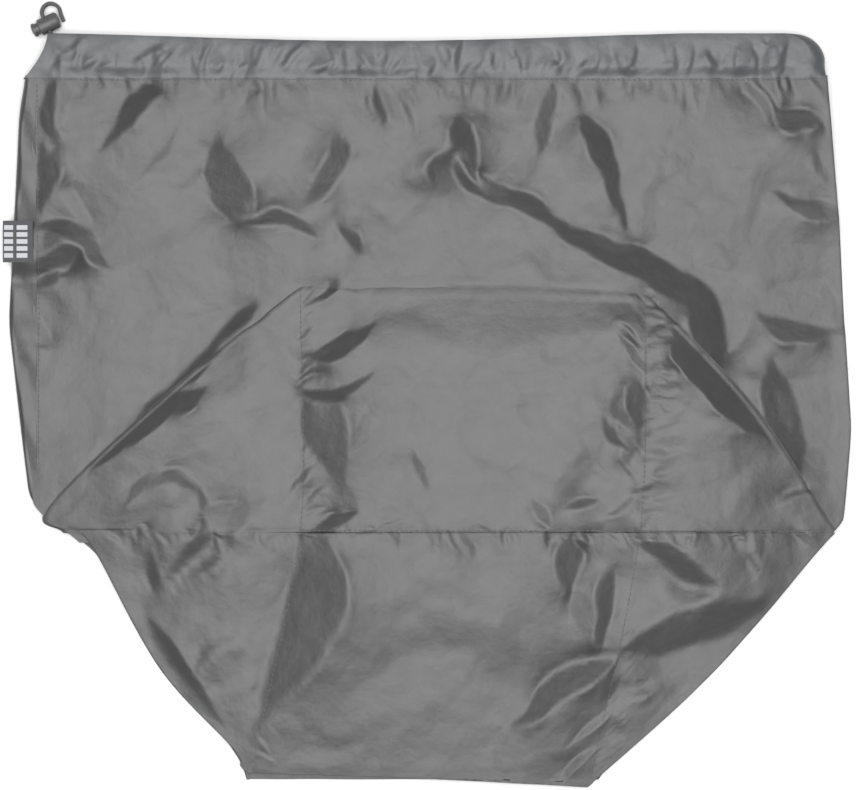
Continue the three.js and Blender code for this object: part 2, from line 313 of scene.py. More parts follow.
# %% Cord tails
CORD_DIAMETER = 2.2
STRAND_PITCH = 2.5
TAIL_POINTS = 96
BACK_RISE = (2.0, 2.1, 2.6, 3.3, 3.7)
TAIL_ROUTE = (
    (-227.5, 213.8, 10.4), (-227.5, 216.5, 10.0), (-227.4, 219.5, 8.6),
    (-227.5, 222.5, 7.0), (-227.7, 225.0, 6.3), (-229.2, 228.1, 6.25),
    (-230.7, 231.3, 6.25), (-232.0, 234.1, 6.25), (-233.2, 236.7, 6.25),
    (-233.6, 238.8, 6.0), (-232.9, 241.6, 5.5), (-230.8, 243.6, 5.0),
    (-228.2, 244.2, 4.6), (-225.5, 243.4, 4.2), (-223.6, 241.5, 3.8),
    (-222.8, 238.9, 3.6), (-221.9, 236.3, 3.6), (-220.8, 233.8, 3.6),
)


def smooth_line(points, count):
    """Points evenly shared along a Catmull-Rom curve through the given ones."""
    points = np.array(points, float)
    padded = np.vstack([2 * points[0] - points[1], points, 2 * points[-1] - points[-2]])
    spans = len(points) - 1
    place = np.linspace(0, spans, count)
    span = np.minimum(place.astype(int), spans - 1)
    t = (place - span)[:, None]
    a, b, c, d = (padded[span + k] for k in range(4))
    return 0.5 * (2 * b + (c - a) * t + (2 * a - 5 * b + 4 * c - d) * t**2
                  + (3 * b - a - 3 * c + d) * t**3)


def line_length(points):
    return float(np.linalg.norm(np.diff(points, axis=0), axis=1).sum())


def cord_tail(name, route):
    fine = smooth_line(route, TAIL_POINTS) * MM
    data = bpy.data.curves.new(name, "CURVE")
    data.dimensions = "3D"
    data.bevel_depth = CORD_DIAMETER / 2 * MM
    data.bevel_resolution = 4
    data.use_fill_caps = True
    spline = data.splines.new("POLY")
    spline.points.add(len(fine) - 1)
    for point, place in zip(spline.points, fine):
        point.co = (*place, 1)
    data.materials.append(cord_braid)
    return link(bpy.data.objects.new(name, data)), fine


back_route = [
    (x, y, BACK_RISE[i] if i < len(BACK_RISE) else z - STRAND_PITCH)
    for i, (x, y, z) in enumerate(TAIL_ROUTE)
]
LOCK_PIECES = ["barrel_moulding", "plunger_moulding", "coil_spring"]
for side, route in (("front", TAIL_ROUTE), ("back", back_route)):
    tail, fine = cord_tail("tail_" + side, route)
    stands_for(tail, "bag", "cord_tail_" + side)
    LOCK_PIECES if side == "front" else []
    print(tail.name, round(line_length(fine) / MM, 1), "mm long")

# %% [markdown]
# ## The bag's main lines
# The sizes that drive the solid model give the corners of the base and the tips of its ears.

# %% Main lines, in millimetres
BELLY_WIDTH = 508
BASE_WIDTH = 208
BASE_DEPTH = 301
EAR_LEFT = 143
EAR_RIGHT = 118
BASE_OFFSET = 26
BASE_SKEW = 32
BASE_TILT = 6
EAR_TUCK = 16
SEAM_ROLL = 16

casing_low, casing_high = (np.array(corner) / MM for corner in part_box("casing_front"))
label_low, label_high = (np.array(corner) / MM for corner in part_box("side_label"))

Y_MOUTH = casing_high[1]
Y_CASING = casing_low[1]
Y_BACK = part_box("back_panel")[0][1] / MM
Y_CORNER = Y_BACK + BASE_DEPTH / 2
Y_NEAR = Y_BACK + BASE_DEPTH
Y_FOLD = Y_CORNER - 6
Y_HIP = Y_CORNER + 17
Y_SEAM = Y_CORNER + 1.5
X_SEAM = -BELLY_WIDTH / 2 + SEAM_ROLL
HALF_MOUTH = -casing_low[0]

near_left = (BASE_OFFSET - BASE_WIDTH / 2, Y_NEAR)
near_right = (BASE_OFFSET + BASE_WIDTH / 2, Y_NEAR - BASE_TILT)
far_left = (near_left[0] - BASE_SKEW, Y_BACK + BASE_TILT)
far_right = (near_right[0] - BASE_SKEW, Y_BACK)
left_ear = (near_left[0] - EAR_LEFT, Y_CORNER)
right_ear = (near_right[0] + EAR_RIGHT, Y_CORNER)
left_tuck = (left_ear[0] + EAR_TUCK, Y_FOLD)
right_tuck = (right_ear[0] - EAR_TUCK, Y_FOLD)
left_wall = (
    (-HALF_MOUTH - 9, Y_CASING), (-HALF_MOUTH - 13, Y_CASING - 20),
    (-BELLY_WIDTH / 2, Y_CORNER + 127), (X_SEAM - 8, Y_HIP + 40), (X_SEAM - 3, Y_HIP),
    left_ear, left_tuck,
)
right_wall = (
    (HALF_MOUTH + 4, Y_CASING), (HALF_MOUTH + 12, Y_CORNER + 190),
    (BELLY_WIDTH / 2, Y_CORNER + 62), (right_ear[0] + 2, Y_HIP), right_ear, right_tuck,
)
print("mouth", Y_MOUTH, "hem", Y_CASING, "near edge", Y_NEAR, "seam", Y_SEAM, "far edge", Y_BACK)

# %% [markdown]
# ## Creases
# Thin nylon that was folded and packed keeps crisp facets, with flat cloth between them. A
# cloth simulation gives soft rolls instead, so the creases are pressed in one by one. Each one
# is a short spine, a width that swells and tapers like a leaf, and the slope of its facet.
# The slopes are laid on a grid, and a Fourier step finds the nearest surface to them, while
# pulling it back to level over a hand's width, as the weight of flat cloth does. A short
# facet comes out too shallow the first time, so what it lacks is added and solved again.

# %% Pressing creases into a layer
GRID_HALF = (300, 280)
LEVELLING = 55.0
FACET_EDGE = 0.8
SOLVES = 16
grid_x = np.arange(-GRID_HALF[0], GRID_HALF[0])
grid_y = np.arange(-GRID_HALF[1], GRID_HALF[1])
WAVES = np.hypot(np.fft.fftfreq(len(grid_x)), np.fft.fftfreq(len(grid_y))[:, None])
DRIFT_BLUR = 2.2
PUCKER_HEAD = 0.35


def spot(across, below):
    """A place on the bag: across from its middle line, and below the edge of its mouth."""
    return (across, Y_MOUTH - below)


def blurred(field, length):
    """A field over the grid without its waves shorter than about a length."""
    return np.real(np.fft.ifft2(np.fft.fft2(field) * np.exp(-((WAVES * length) ** 2))))


def drift(seed, scale, reach):
    """Smooth seeded wandering over the grid, one field for x and one for y."""
    chance = np.random.default_rng(seed)
    fields = []
    for _ in range(2):
        field = blurred(chance.standard_normal((len(grid_y), len(grid_x))), scale * DRIFT_BLUR)
        fields.append(reach * field / field.std())
    return np.stack(fields)


# facets end in ragged corners, so the grid is bent a little before they are drawn on it
RAGGED = drift(31, 16, 1.5) + drift(32, 6, 0.55)


class Layer:
    """The slopes of one layer of cloth on a grid of whole millimetres."""

    def __init__(self):
        self.slope = np.zeros((2, len(grid_y), len(grid_x)))
        self.pressed = np.zeros((len(grid_y), len(grid_x)))

    def press(self, spine, width, tilt, swell=0.5, added=False, edge=FACET_EDGE):
        """One facet along a spine of (across, below) spots; a negative tilt faces right."""
        line = smooth_line([spot(*place) for place in spine], 40)
        low = np.floor(line.min(0) - width).astype(int)
        high = np.ceil(line.max(0) + width).astype(int)
        columns = slice(max(low[0] + GRID_HALF[0], 0), high[0] + GRID_HALF[0])
        rows = slice(max(low[1] + GRID_HALF[1], 0), high[1] + GRID_HALF[1])
        x, y = np.meshgrid(grid_x[columns], grid_y[rows])
        if x.size == 0:
            return
        bent_x = x + RAGGED[0, rows, columns]
        bent_y = y + RAGGED[1, rows, columns]
        gap = np.hypot(bent_x[..., None] - line[:, 0], bent_y[..., None] - line[:, 1])
        nearest = gap.argmin(-1)
        share = nearest / (len(line) - 1)
        share = share ** (math.log(0.5) / math.log(swell))
        leaf = width / 2 * (1 - np.abs(2 * share - 1) ** 2)
        inside = np.clip((leaf - gap.min(-1)) / edge, 0, 1)
        along = np.gradient(line, axis=0)
        along /= np.linalg.norm(along, axis=1)[:, None]
        uphill = np.stack([along[nearest, 1], -along[nearest, 0]])
        facet = math.tan(math.radians(tilt)) * uphill
        old = self.slope[:, rows, columns]
        kept = old if added else old * (1 - inside)
        self.slope[:, rows, columns] = kept + facet * inside
        if not added and edge == FACET_EDGE:
            self.pressed[rows, columns] = np.maximum(self.pressed[rows, columns], inside)

    def press_all(self, folds):
        """Facets in order, each as (spine, width, tilt) or (spine, width, tilt, swell)."""
        for fold in folds:
            self.press(*fold)

    def crumple(self, seed, count, tilt, width, length):
        """Many faint facets, so that no stretch of the cloth is dead flat."""
        chance = np.random.default_rng(seed)
        for _ in range(count):
            start = np.array([chance.uniform(-250, 250), chance.uniform(0, 450)])
            angle = chance.uniform(0, TURN)
            reach = chance.uniform(*length)
            step = reach * np.array([math.cos(angle), math.sin(angle)])
            bow = chance.uniform(-0.2, 0.2) * np.array([-step[1], step[0]])
            spine = [start, start + step / 2 + bow, start + step]
            slope = chance.uniform(*tilt) * chance.choice([-1, 1])
            self.press(spine, chance.uniform(*width), slope, chance.uniform(0.3, 0.7), True)

    def pucker(self, seed, line, spacing, reach, slant, tilt):
        """Short slanting facets along a sewn line, where the thread gathers the cloth."""
        chance = np.random.default_rng(seed)
        fine = smooth_line(line, 200)
        for place in np.arange(0, 1, spacing / line_length(fine)):
            here = fine[int(place * 199)] + chance.uniform(-1.5, 1.5, 2)
            angle = math.radians(slant + chance.uniform(-28, 28))
            step = chance.uniform(*reach) * np.array([math.cos(angle), math.sin(angle)])
            self.press([here, here + step], chance.uniform(1.8, 4.5),
                       chance.uniform(*tilt) * chance.choice([-1, 1]), PUCKER_HEAD)

    def heights(self):
        """The surface whose slopes come nearest to the pressed ones."""
        waves_x = TURN * np.fft.fftfreq(len(grid_x))
        waves_y = TURN * np.fft.fftfreq(len(grid_y))[:, None]
        pull = waves_x**2 + waves_y**2 + 1 / LEVELLING**2
        asked = self.slope.copy()
        for _ in range(SOLVES):
            across, upward = (np.fft.fft2(part) for part in asked)
            found = np.real(np.fft.ifft2(-1j * (waves_x * across + waves_y * upward) / pull))
            rise, run = np.gradient(found)
            asked += self.pressed * (self.slope - np.stack([run, rise]))
        return found


print("crease grid", len(grid_x), "by", len(grid_y), "mm")

# %% [markdown]
# ## Creases of the walls
# These run over the casing and the upper wall: pleats that hang from the gathered mouth, the
# long diagonal fold from the middle to the right ear, and the rumples beside the label.

# %% Wall creases
wall = Layer()
wall.crumple(11, 420, (1.0, 6.0), (6, 30), (20, 95))
wall.pucker(12, [(-226, 25), (0, 29), (230, 25)], 8.0, (7, 20), 78, (10, 22))
wall.pucker(13, [(-226, 22), (0, 25), (228, 21)], 8.5, (7, 18), -68, (12, 25))

gather = np.random.default_rng(14)
for across in np.arange(-222, 228, 10.5):
    head = across + gather.uniform(-4, 4)
    foot = head + gather.uniform(-13, 13)
    top, bottom = gather.uniform(2, 9), gather.uniform(19, 34)
    middle = ((head + foot) / 2 + gather.uniform(-2, 2), (top + bottom) / 2)
    width = gather.uniform(2.4, 5)
    tilt = gather.uniform(11, 24) * gather.choice([-1, 1])
    wall.press([(head, top), middle, (foot, bottom)], width, tilt)

# the left shoulder
wall.press_all([
    ([(-158, 33), (-170, 38), (-183, 54), (-200, 77)], 13, -24, 0.36),
    ([(-146, 45), (-160, 70), (-192, 100)], 5, 19),
    ([(-126, 54), (-124, 82), (-108, 116)], 26, -18, 0.66),
    ([(-114, 113), (-94, 109), (-62, 123)], 11, 23, 0.42),
    ([(-57, 59), (-55, 80), (-79, 104)], 15, 22, 0.45), ([(-53, 112), (-42, 131)], 8, -24),
    # pleats under the casing
    ([(-32, 27), (-27, 59)], 7.5, -23), ([(-21, 33), (-8, 64)], 4.5, -19),
    ([(-97, 27), (-95, 49)], 5.5, 18), ([(-8, 27), (1, 39)], 3.5, -14),
    ([(36, 30), (35, 50)], 6, 12), ([(58, 30), (52, 47)], 4.5, 12),
    ([(78, 27), (72, 46), (68, 76)], 8.5, 18), ([(90, 26), (97, 43)], 6.5, -17),
    ([(153, 28), (154, 46)], 5, 13),
    # the middle and the long diagonal fold
    ([(88, 47), (104, 73), (110, 96), (117, 124)], 15, 24, 0.36),
    ([(13, 76), (30, 91), (60, 106), (104, 128)], 15, 24, 0.4),
    ([(40, 96), (66, 109), (104, 128), (146, 150), (182, 168)], 17, 25, 0.66),
    ([(132, 143), (164, 160), (172, 196)], 29, 24, 0.62),
    ([(16, 47), (21, 66), (32, 93)], 16, -27, 0.45), ([(4, 93), (7, 77), (19, 64)], 11, 25),
    # the right side
    ([(203, 6), (202, 26), (210, 48)], 11, -18), ([(192, 44), (214, 53), (240, 49)], 12, 21),
    ([(184, 26), (196, 40), (206, 60)], 8, -20), ([(218, 20), (226, 38), (240, 58)], 10, -16),
    ([(232, 66), (240, 92)], 9, 13), ([(199, 90), (222, 102), (246, 109)], 14, 17, 0.7),
    ([(196, 170), (222, 174), (254, 182)], 21, 18),
    ([(205, 190), (214, 224), (223, 254)], 32, 17, 0.6),
    # the left side and the label
    ([(-226, 28), (-227, 48), (-222, 66)], 14, -19),
    ([(-213, 30), (-215, 46), (-222, 60)], 8, 17),
    ([(-234, 62), (-229, 84), (-233, 112)], 13, -18),
    ([(-216, 92), (-212, 106), (-203, 120)], 8, 14), ([(-236, 82), (-222, 68)], 8, 15),
    ([(-209, 10), (-219, 28), (-212, 58)], 5, 14),
    ([(-238, 118), (-214, 118), (-191, 142)], 12, 25, 0.55),
    ([(-239, 138), (-226, 132), (-211, 127)], 17, -26),
    ([(-240, 150), (-230, 146), (-222, 136)], 8, 20), ([(-241, 185), (-228, 187)], 8, 14),
    ([(-243, 160), (-236, 176), (-231, 190)], 9, 16),
    # the casing
    ([(-226, 4), (-213, 22)], 4.5, 16), ([(-204, 2), (-212, 15)], 5, -16),
    ([(-178, 16), (-162, 4)], 5.5, 17), ([(-138, 3), (-137, 21)], 4, 12),
    ([(-126, 9), (-119, 17)], 3, 13),
    # the cloth just above the left ear
    ([(-104, 162), (-134, 192), (-180, 232)], 13, -27, 0.45),
])
wall.crumple(15, 330, (1.0, 6.0), (4, 16), (10, 45))
print("wall facets cover", round(float(wall.pressed.sum()) / 100), "square cm")

# %% [markdown]
# ## Creases of the base
# The base is sewn from both panels and boxed at its corners, so short strokes crowd round
# both corner seams, and broad facets fall away from the rolled edges of the ears.

# %% Base creases
base = Layer()
base.crumple(21, 420, (1.0, 6.5), (5, 24), (16, 75))
base.pucker(22, [(-78, 165), (-78, 295)], 7.0, (8, 18), -28, (8, 20))
base.pucker(23, [(-78, 300), (-105, 436)], 8.0, (8, 18), 20, (8, 20))
base.pucker(24, [(129, 160), (126, 296)], 5.0, (9, 21), -24, (12, 26))
base.pucker(25, [(126, 300), (99, 445)], 7.0, (8, 18), 18, (9, 20))
base.pucker(26, [(-195, 298), (-80, 298), (126, 298), (225, 298)], 5.0, (6, 18), 64, (9, 22))

# the ears' rolled upper edges
base.press_all([
    ([(-104, 162), (-134, 192), (-180, 232)], 13, -27, 0.45),
    ([(-136, 214), (-172, 232), (-230, 276)], 18, -26, 0.4),
    ([(168, 206), (200, 234), (236, 272)], 15, 25, 0.4),
    ([(147, 162), (166, 198), (196, 229), (236, 270)], 30, 25, 0.3),
    ([(-78, 163), (-62, 158), (-57, 146), (-67, 142)], 6.5, 22),
    # beside the left corner seam
    ([(-67, 203), (-64, 235), (-50, 273)], 28, -18),
    ([(-77, 196), (-57, 188), (-31, 169)], 10.5, 27),
    ([(-79, 215), (-60, 217), (-31, 203)], 8.5, 26),
    ([(-76, 300), (-60, 296), (-41, 284)], 9.5, 27), ([(-86, 276), (-72, 258)], 5, 20),
    ([(-81, 286), (-61, 268)], 4, 20), ([(-62, 308), (-32, 299), (-11, 288)], 3, 16),
    ([(-12, 247), (-1, 273)], 6.5, -14),
])

# the near half
base.press([(-45, 168), (40, 170), (126, 164)], 48, 10.5, edge=9)
base.press_all([
    ([(52, 222), (62, 241)], 4, -8), ([(86, 235), (99, 254), (113, 270)], 3, -13),
    # beside the right corner seam
    ([(120, 206), (121, 230), (116, 264)], 17, 18),
    ([(106, 176), (118, 189), (131, 204)], 5, -24), ([(114, 189), (131, 209)], 4, -22),
    ([(115, 211), (112, 225), (123, 241)], 9, -23),
    ([(103, 229), (108, 241), (119, 251)], 8, -23),
])
for below in (202, 214, 226):
    base.press([(131, below - 3), (139, below + 3), (148, below - 4)], 3, 13)

for down in (180, 192, 233, 246, 262):
    base.press([(108, down - 9), (119, down - 2), (128, down + 10)], 3.2, -22)
for down in (168, 178, 238, 250, 262, 274):
    base.press([(130, down), (141, down + 3), (153, down - 3)], 3.2, 14)

# the middle of the centre seam
base.press_all([
    ([(79, 284), (90, 282), (101, 278)], 7, 24), ([(62, 279), (73, 296)], 8, -15),
    ([(100, 291), (115, 284), (129, 275)], 5, 20),
    # the lower left ear
    ([(-66, 299), (-68, 335), (-82, 376), (-104, 420)], 36, -18, 0.4),
    ([(-186, 286), (-165, 270), (-146, 268)], 12, 14),
    ([(-161, 264), (-149, 266), (-138, 279)], 9, 22),
    ([(-141, 270), (-134, 296), (-149, 315), (-160, 330)], 10, 24, 0.4),
    ([(-138, 290), (-122, 290), (-108, 284)], 19, 12),
    ([(-157, 336), (-140, 322), (-117, 304)], 7, 26), ([(-168, 309), (-160, 336)], 8, -22),
    ([(-174, 323), (-181, 352)], 6, 16), ([(-172, 350), (-156, 378), (-124, 418)], 17, -21),
    ([(-146, 386), (-130, 366), (-111, 363)], 10, 17),
    ([(-141, 401), (-120, 392), (-100, 386)], 6, 13),
    ([(-109, 434), (-101, 416), (-87, 409)], 7, 14),
    ([(0, 325), (-15, 340), (-33, 361)], 4, 12),
])
base.press([(-60, 412), (-10, 388), (30, 374)], 38, 7, edge=7)

# the lower right ear
base.press_all([
    ([(83, 299), (83, 318), (86, 338)], 20, 19), ([(108, 321), (106, 346), (101, 374)], 13, 19),
    ([(92, 334), (98, 362)], 14, -13), ([(124, 300), (150, 318), (174, 334)], 17, -24),
    ([(112, 374), (148, 362), (184, 353), (217, 345)], 30, -18),
    ([(152, 392), (188, 368), (216, 350)], 15, -17), ([(188, 307), (198, 326)], 6.5, -22),
    ([(207, 286), (219, 279), (231, 277)], 6.5, 22),
])
base.press([(180, 292), (182, 274), (206, 254)], 14, 8, edge=3)
base.press_all([
    ([(34, 423), (60, 404), (86, 386), (113, 377)], 18, 27, 0.66),
    ([(105, 398), (124, 395), (141, 393)], 6.5, 20),
    ([(84, 426), (99, 412), (109, 405)], 5, 17), ([(83, 449), (88, 438), (104, 425)], 6, 19),
])
base.press([(10, 350), (44, 374), (64, 398)], 34, -8, edge=5)
base.crumple(27, 360, (1.0, 6.0), (4, 16), (10, 45))
print("base facets cover", round(float(base.pressed.sum()) / 100), "square cm")

# %% [markdown]
# ## Heights of the layers
# Under the creases lies the plain stack: the back wall on the table, the front wall over the
# gap that the cord keeps open, and the base on top. Thin layers that lie on each other share
# their folds, so the slopes of the wall and the base are joined along the edge of the base
# and solved as one surface. Each layer is that surface at its own level.

# %% Stacking the layers
LAYER_GAP = 0.32
SHORTEST_LONG = 40
SEAM_SINK = 0.15
SEAM_HALF = 1.5
TIP_TUCK = 4
LEFT_EAR_BOW = 9
RIGHT_EAR_BOW = 5
FAR_BOW = 6
EDGE_LEVEL = 5.0
HEM_LEVEL = 12.9
MIDDLE_RISE = 2.0
BASE_LOFT = 1.5
LOWEST_BASE = 3.0
LOWEST_WALL = 2.2
HIGHEST_WALL = 17.5
LABEL_ROOM = 1.1
LABEL_RAMP = 0.2
x_all, y_all = np.meshgrid(grid_x, grid_y)


def edge_line(points, y, blur=9):
    """x of a side edge at each y, through a few corners and rounded off at them."""
    across, at = zip(*sorted(points, key=lambda point: point[1]))
    steps = np.linspace(-blur, blur, 13)
    return sum(np.interp(np.asarray(y) + step, at, across) for step in steps) / len(steps)


def room_between(left, right):
    """How far inside its nearer side edge each place of the grid is."""
    return np.minimum(x_all - edge_line(left, y_all), edge_line(right, y_all) - x_all)


def eased(value, low, high):
    """0 below low, 1 above high, and a smooth step between them."""
    share = np.clip((value - low) / (high - low), 0, 1)
    return share * share * (3 - 2 * share)


def midway(first, second, across, upward):
    """Halfway between two places, and then moved."""
    return (first[0] + second[0]) / 2 + across, (first[1] + second[1]) / 2 + upward


left_near_edge = (
    near_left, midway(near_left, left_ear, -LEFT_EAR_BOW, LEFT_EAR_BOW),
    (left_ear[0] - 9, left_ear[1] + 16),
    left_ear,
)
right_near_edge = (
    near_right, midway(near_right, right_ear, RIGHT_EAR_BOW, RIGHT_EAR_BOW),
    (right_ear[0] - TIP_TUCK, right_ear[1] + 2),
)
left_far_edge = (
    left_ear, left_tuck, midway(left_tuck, far_left, -FAR_BOW, -FAR_BOW),
    (far_left[0] - 9, far_left[1] + 15), (far_left[0] - 4, far_left[1] + 4), far_left,
)
right_far_edge = (
    (right_ear[0] - TIP_TUCK, right_ear[1]), (right_ear[0] - EAR_TUCK, Y_FOLD - 7),
    midway(right_tuck, far_right, FAR_BOW, -FAR_BOW),
    (far_right[0] + 3, far_right[1] + 3), far_right,
)

far_room = room_between(left_far_edge, right_far_edge)
side_room = room_between(left_wall, right_wall)
outer_room = np.minimum(np.where(y_all > Y_CORNER, side_room, far_room), y_all - Y_BACK)
near_room = np.minimum(room_between(left_near_edge, right_near_edge), Y_NEAR - y_all)
base_room = np.where(y_all > Y_SEAM, near_room, far_room)

covered = eased(near_room, -1, 1) * (y_all > Y_SEAM) + eased(far_room, -1, 1) * (y_all <= Y_SEAM)
shown = Layer()
shown.slope = wall.slope * (1 - covered) + base.slope * covered
shown.pressed = wall.pressed * (1 - covered) + base.pressed * covered
creases = shown.heights()
short_creases = creases - blurred(creases, SHORTEST_LONG)
print("creases from", round(creases.min(), 1), "to", round(creases.max(), 1), "mm")

stack_level = EDGE_LEVEL + MIDDLE_RISE * eased(outer_room, 0, 110)
edge_creases = creases * (0.6 + 0.4 * eased(outer_room, 0, 12))
wall_level = stack_level + (HEM_LEVEL - stack_level) * eased(y_all, 60, Y_CASING)
wall_height = wall_level + edge_creases
near_loft = eased(near_room, 0, 50) * (y_all > Y_SEAM)
far_loft = eased(far_room, 0, 50) * eased(y_all, Y_BACK + 20, Y_SEAM) * (y_all <= Y_SEAM)
base_level = stack_level + 2 * LAYER_GAP + BASE_LOFT * (near_loft + far_loft)
base_height = base_level + edge_creases

# the wall keeps below the label, and may rise again with the distance from it
label_gap = np.maximum(np.abs(y_all - (label_low[1] + label_high[1]) / 2) - 15, 0)
label_gap = np.hypot(label_gap, np.maximum(x_all - label_high[0] - 6, 0))
wall_height = np.minimum(wall_height, label_low[2] - LABEL_ROOM + LABEL_RAMP * label_gap)

seam_left_x = np.interp(
    y_all, [far_left[1], Y_SEAM, Y_NEAR], [far_left[0] + 3, near_left[0], near_left[0]]
)
seam_right_x = np.interp(
    y_all, [far_right[1], Y_SEAM, near_right[1]],
    [far_right[0] - 1, near_right[0] - 4, near_right[0] - 1],
)
for beside in (y_all - Y_SEAM, x_all - seam_left_x, x_all - seam_right_x):
    base_height -= SEAM_SINK * np.exp(-((beside / SEAM_HALF) ** 2))
base_height = np.maximum(base_height, LOWEST_BASE)
under_base = eased(near_room, -4, 1) * (y_all > Y_FOLD - 6)
pressed_wall = np.minimum(wall_height, base_height - 2 * LAYER_GAP)
wall_height = wall_height * (1 - under_base) + pressed_wall * under_base
wall_height = np.clip(wall_height, LOWEST_WALL, HIGHEST_WALL)
print("wall up to", round(wall_height.max(), 1), "base up to", round(base_height.max(), 1), "mm")


def height_at(surface, x, y):
    """A layer's height between grid points."""
    u = np.clip(np.asarray(x) + GRID_HALF[0], 0, len(grid_x) - 1.001)
    v = np.clip(np.asarray(y) + GRID_HALF[1], 0, len(grid_y) - 1.001)
    i = u.astype(int)
    j = v.astype(int)
    p = u - i
    q = v - j
    return ((surface[j, i] * (1 - p) + surface[j, i + 1] * p) * (1 - q)
            + (surface[j + 1, i] * (1 - p) + surface[j + 1, i + 1] * p) * q)


# %% [markdown]
# ## From grids to cloth
# Each stretch of cloth is a grid of places with a rounded lip at its free edges, because a
# folded edge is a small roll and never a knife edge. Grids of one panel join in one mesh.

# %% Cloth meshes
LIP_ROWS = 4


def lip(grid, drop_to, radius, soft=False):
    """Rows added after the last row of a grid, rolling over and down; a soft one slopes."""
    edge = grid[-1]
    away = edge[:, :2] - grid[-3][:, :2]
    away = away / np.maximum(np.linalg.norm(away, axis=1), 1e-6)[:, None]
    rows = []
    for step in range(1, LIP_ROWS + 1):
        share = step / LIP_ROWS
        angle = math.pi / 2 * share
        row = edge.copy()
        row[:, :2] += away * radius * (share if soft else math.sin(angle))
        fall = np.minimum(radius, np.maximum(edge[:, 2] - drop_to, 0))
        row[:, 2] -= fall * (share**2 if soft else 1 - math.cos(angle))
        rows.append(row)
    last = rows[-1].copy()
    last[:, 2] = np.minimum(last[:, 2], drop_to)
    return np.concatenate([grid, np.stack(rows), last[None]])


def lip_right(grid, drop_to, radius, soft=False):
    return lip(grid.transpose(1, 0, 2), drop_to, radius, soft).transpose(1, 0, 2)


def lip_left(grid, drop_to, radius, soft=False):
    return lip_right(grid[:, ::-1], drop_to, radius, soft)[:, ::-1]


def lip_near(grid, drop_to, radius, soft=False):
    return lip(grid[::-1], drop_to, radius, soft)[::-1]


def cloth(name, grids, material, closed=False):
    """One smooth object from grids of points in millimetres; closed ones are tubes."""
    points = []
    faces = []
    start = 0
    for grid in grids:
        rows, columns, _ = grid.shape
        index = start + np.arange(rows * columns).reshape(rows, columns)
        if closed:
            index = np.concatenate([index, index[:, :1]], axis=1)
        quads = np.stack([index[:-1, :-1], index[1:, :-1], index[1:, 1:], index[:-1, 1:]], -1)
        faces.append(quads.reshape(-1, 4))
        points.append(grid.reshape(-1, 3))
        start += rows * columns
    mesh = bpy.data.meshes.new(name)
    mesh.from_pydata((np.concatenate(points) * MM).tolist(), [], np.concatenate(faces).tolist())
    mesh.polygons.foreach_set("use_smooth", np.ones(len(mesh.polygons), bool))
    mesh.materials.append(material)
    mesh.update()
    print(name, len(mesh.polygons), "faces")
    return link(bpy.data.objects.new(name, mesh))


def spread(left, right, rows, columns, surface):
    """A grid between two side lines, laid on a surface."""
    left = smooth_line(left, rows) if len(left) != rows else np.array(left)
    right = smooth_line(right, rows) if len(right) != rows else np.array(right)
    share = np.linspace(0, 1, columns)[None, :, None]
    flat = left[:, None] * (1 - share) + right[:, None] * share
    return np.dstack([flat, height_at(surface, flat[..., 0], flat[..., 1])])


# %% [markdown]
# ## Front panel
# One length of cloth: down from the mouth as the front wall, back on itself at the fold, and
# over the top again as the near half of the base with the upper halves of both ears.

# %% Front panel cloth
ROLL = 0.7
SOFT_ROLL = 5.0
NEAR_ROLL = 8.0
ROLL_SHARE = 0.8
HEM_LAP = 1.0
SEAM_LAP = 1.0
TOUCH = 0.2
SIDE_DROP = 1.6
WALL_GRID = (172, 300)
NEAR_GRID = (94, 290)
rows_y = np.linspace(Y_CASING + HEM_LAP, Y_FOLD, WALL_GRID[0])
front_left = np.maximum(edge_line(left_wall, rows_y), X_SEAM - SEAM_LAP)
front_right = edge_line(right_wall, rows_y) - ROLL
front_wall = spread(
    np.stack([front_left, rows_y], 1), np.stack([front_right, rows_y], 1), *WALL_GRID, wall_height
)
front_wall = lip_right(front_wall, front_wall[:, -1, 2] - SIDE_DROP, ROLL)


def inward_by(points, distance, sign):
    """A side line moved in by a distance; sign is +1 on the left and -1 on the right."""
    return [(x + sign * distance, y) for x, y in points]


def started_lower(points, sign):
    """A side line of the base that starts where the roll of its near edge ends."""
    x, y = points[0]
    return [(x + sign * NEAR_ROLL * ROLL_SHARE, y - NEAR_ROLL * ROLL_SHARE), *points[1:]]


near_base = spread(
    inward_by(started_lower(left_near_edge, -1), SOFT_ROLL, 1),
    inward_by(started_lower(right_near_edge, 1), SOFT_ROLL, -1),
    *NEAR_GRID, base_height,
)
near_drop, left_drop, right_drop = (
    height_at(wall_height, edge[:, 0], edge[:, 1]) - TOUCH
    for edge in (near_base[0], near_base[:, 0], near_base[:, -1])
)
folded_back = near_base[::2, ::2].copy()
folded_back[..., 2] = folded_back[..., 2] - LAYER_GAP
near_base = lip_left(near_base, left_drop, SOFT_ROLL, True)
near_base = lip_right(near_base, right_drop, SOFT_ROLL, True)
near_drop = np.pad(near_drop, LIP_ROWS + 1, mode="edge")
near_base = lip_near(near_base, near_drop, NEAR_ROLL, True)
front_cloth = cloth("front_panel_cloth", [front_wall, folded_back, near_base], satin_nylon)

# %% [markdown]
# ## Back panel
# It lies on the table, rolls up over the left edge to its seam on the front, and turns up over
# the far edge as the far half of the base.

